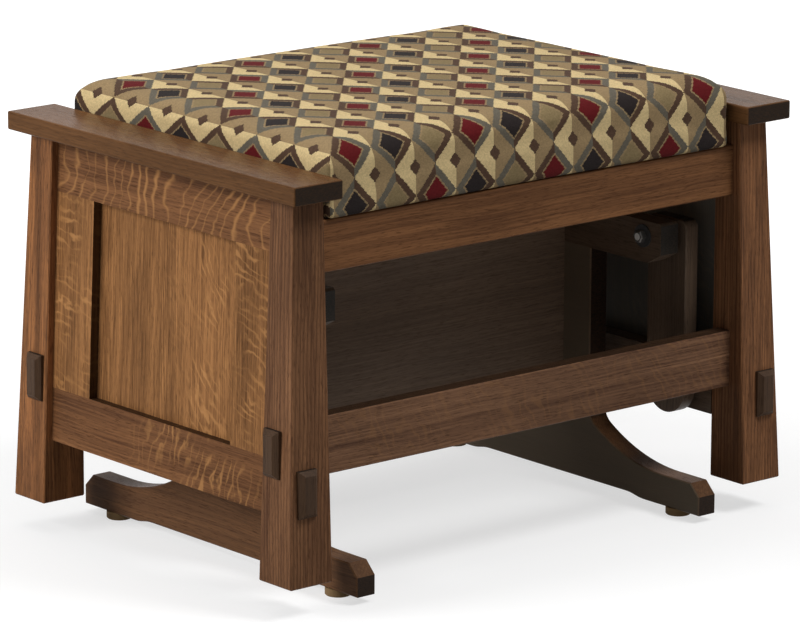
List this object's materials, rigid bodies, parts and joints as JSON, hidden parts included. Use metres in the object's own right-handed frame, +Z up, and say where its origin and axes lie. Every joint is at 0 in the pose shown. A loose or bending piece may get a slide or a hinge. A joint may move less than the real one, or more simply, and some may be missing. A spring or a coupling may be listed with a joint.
{
  "type": "glider ottoman",
  "caption": "Oak glider ottoman: an upholstered seat in a panelled frame with flared legs swings front to back on four links hung from a still base.",
  "frame": {"origin": "on the floor under the middle of the ottoman", "axes": "+Z up, X across the width between the two capped sides, Y the way it glides, front at -Y"},
  "size_m": [0.691, 0.483, 0.4855],
  "materials": {
    "frame_oak": "satin varnish",
    "panel_oak": "satin varnish",
    "cap_oak": "satin varnish",
    "end_oak": "satin varnish",
    "base_oak": "satin varnish",
    "plain_hardwood": "bare",
    "plywood": "bare",
    "fabric": "woven",
    "bright_steel": "zinc plated",
    "bearing_steel": "polished",
    "black_washer": "matte",
    "brass": "machined",
    "pad_plastic": "matte"
  },
  "bodies": {
    "base": {"base_end_left": "base_oak", "base_end_right": "base_oak", "hanger_rail_left": "base_oak", "hanger_rail_right": "base_oak", "centre_stretcher": "base_oak", "hanger_dowels": "base_oak", "stretcher_screws": "bright_steel", "foot_pads": "pad_plastic", "upper_pivot_bolts": "bright_steel", "upper_pivot_nuts": "bright_steel", "upper_pivot_washers": "black_washer", "upper_pivot_spacers": "bright_steel"},
    "swing_front_left": {"link_front_left": "base_oak", "link_bearings_front_left": "bearing_steel"},
    "swing_front_right": {"link_front_right": "base_oak", "link_bearings_front_right": "bearing_steel"},
    "swing_back_left": {"link_back_left": "base_oak", "link_bearings_back_left": "bearing_steel"},
    "swing_back_right": {"link_back_right": "base_oak", "link_bearings_back_right": "bearing_steel"},
    "seat_frame": {"leg_front_left": "frame_oak", "leg_front_right": "frame_oak", "leg_back_left": "frame_oak", "leg_back_right": "frame_oak", "stile_front_left": "frame_oak", "stile_front_right": "frame_oak", "stile_back_left": "frame_oak", "stile_back_right": "frame_oak", "cap_left": "cap_oak", "cap_right": "cap_oak", "side_top_rail_left": "frame_oak", "side_top_rail_right": "frame_oak", "side_bottom_rail_left": "frame_oak", "side_bottom_rail_right": "frame_oak", "side_panel_left": "panel_oak", "side_panel_right": "panel_oak", "glide_bearer_left": "base_oak", "glide_bearer_right": "base_oak", "apron_front": "frame_oak", "apron_back": "frame_oak", "lower_rail_front": "frame_oak", "lower_rail_back": "frame_oak", "deck_cleat_front": "plain_hardwood", "deck_cleat_back": "plain_hardwood", "tenon_plugs_side": "end_oak", "tenon_plugs_end": "end_oak", "cap_dowels": "plain_hardwood", "seat_deck": "plywood", "cushion": "fabric", "lower_pivot_bolts": "bright_steel", "lower_pivot_spacers": "bright_steel", "threaded_inserts": "brass"}
  },
  "joints": [
    {"name": "swing_front_left", "type": "hinge", "parent": "base", "child": "swing_front_left", "pos_m": [-0.27108, -0.137, 0.303], "axis": [1, 0, 0], "range_deg": [-14, 14]},
    {"name": "swing_front_right", "type": "hinge", "parent": "base", "child": "swing_front_right", "pos_m": [0.27108, -0.137, 0.303], "axis": [1, 0, 0], "range_deg": [-14, 14]},
    {"name": "swing_back_left", "type": "hinge", "parent": "base", "child": "swing_back_left", "pos_m": [-0.27108, 0.137, 0.303], "axis": [1, 0, 0], "range_deg": [-14, 14]},
    {"name": "swing_back_right", "type": "hinge", "parent": "base", "child": "swing_back_right", "pos_m": [0.27108, 0.137, 0.303], "axis": [1, 0, 0], "range_deg": [-14, 14]},
    {"name": "seat_pivot", "type": "hinge", "parent": "swing_front_left", "child": "seat_frame", "pos_m": [-0.27108, -0.137, 0.131], "axis": [1, 0, 0], "range_deg": [-14, 14]}
  ],
  "couplings": [
    {"joint": "swing_front_right", "follows": "swing_front_left", "ratio": 1},
    {"joint": "swing_back_left", "follows": "swing_front_left", "ratio": 1},
    {"joint": "swing_back_right", "follows": "swing_front_left", "ratio": 1},
    {"joint": "seat_pivot", "follows": "swing_front_left", "ratio": -1}
  ]
}
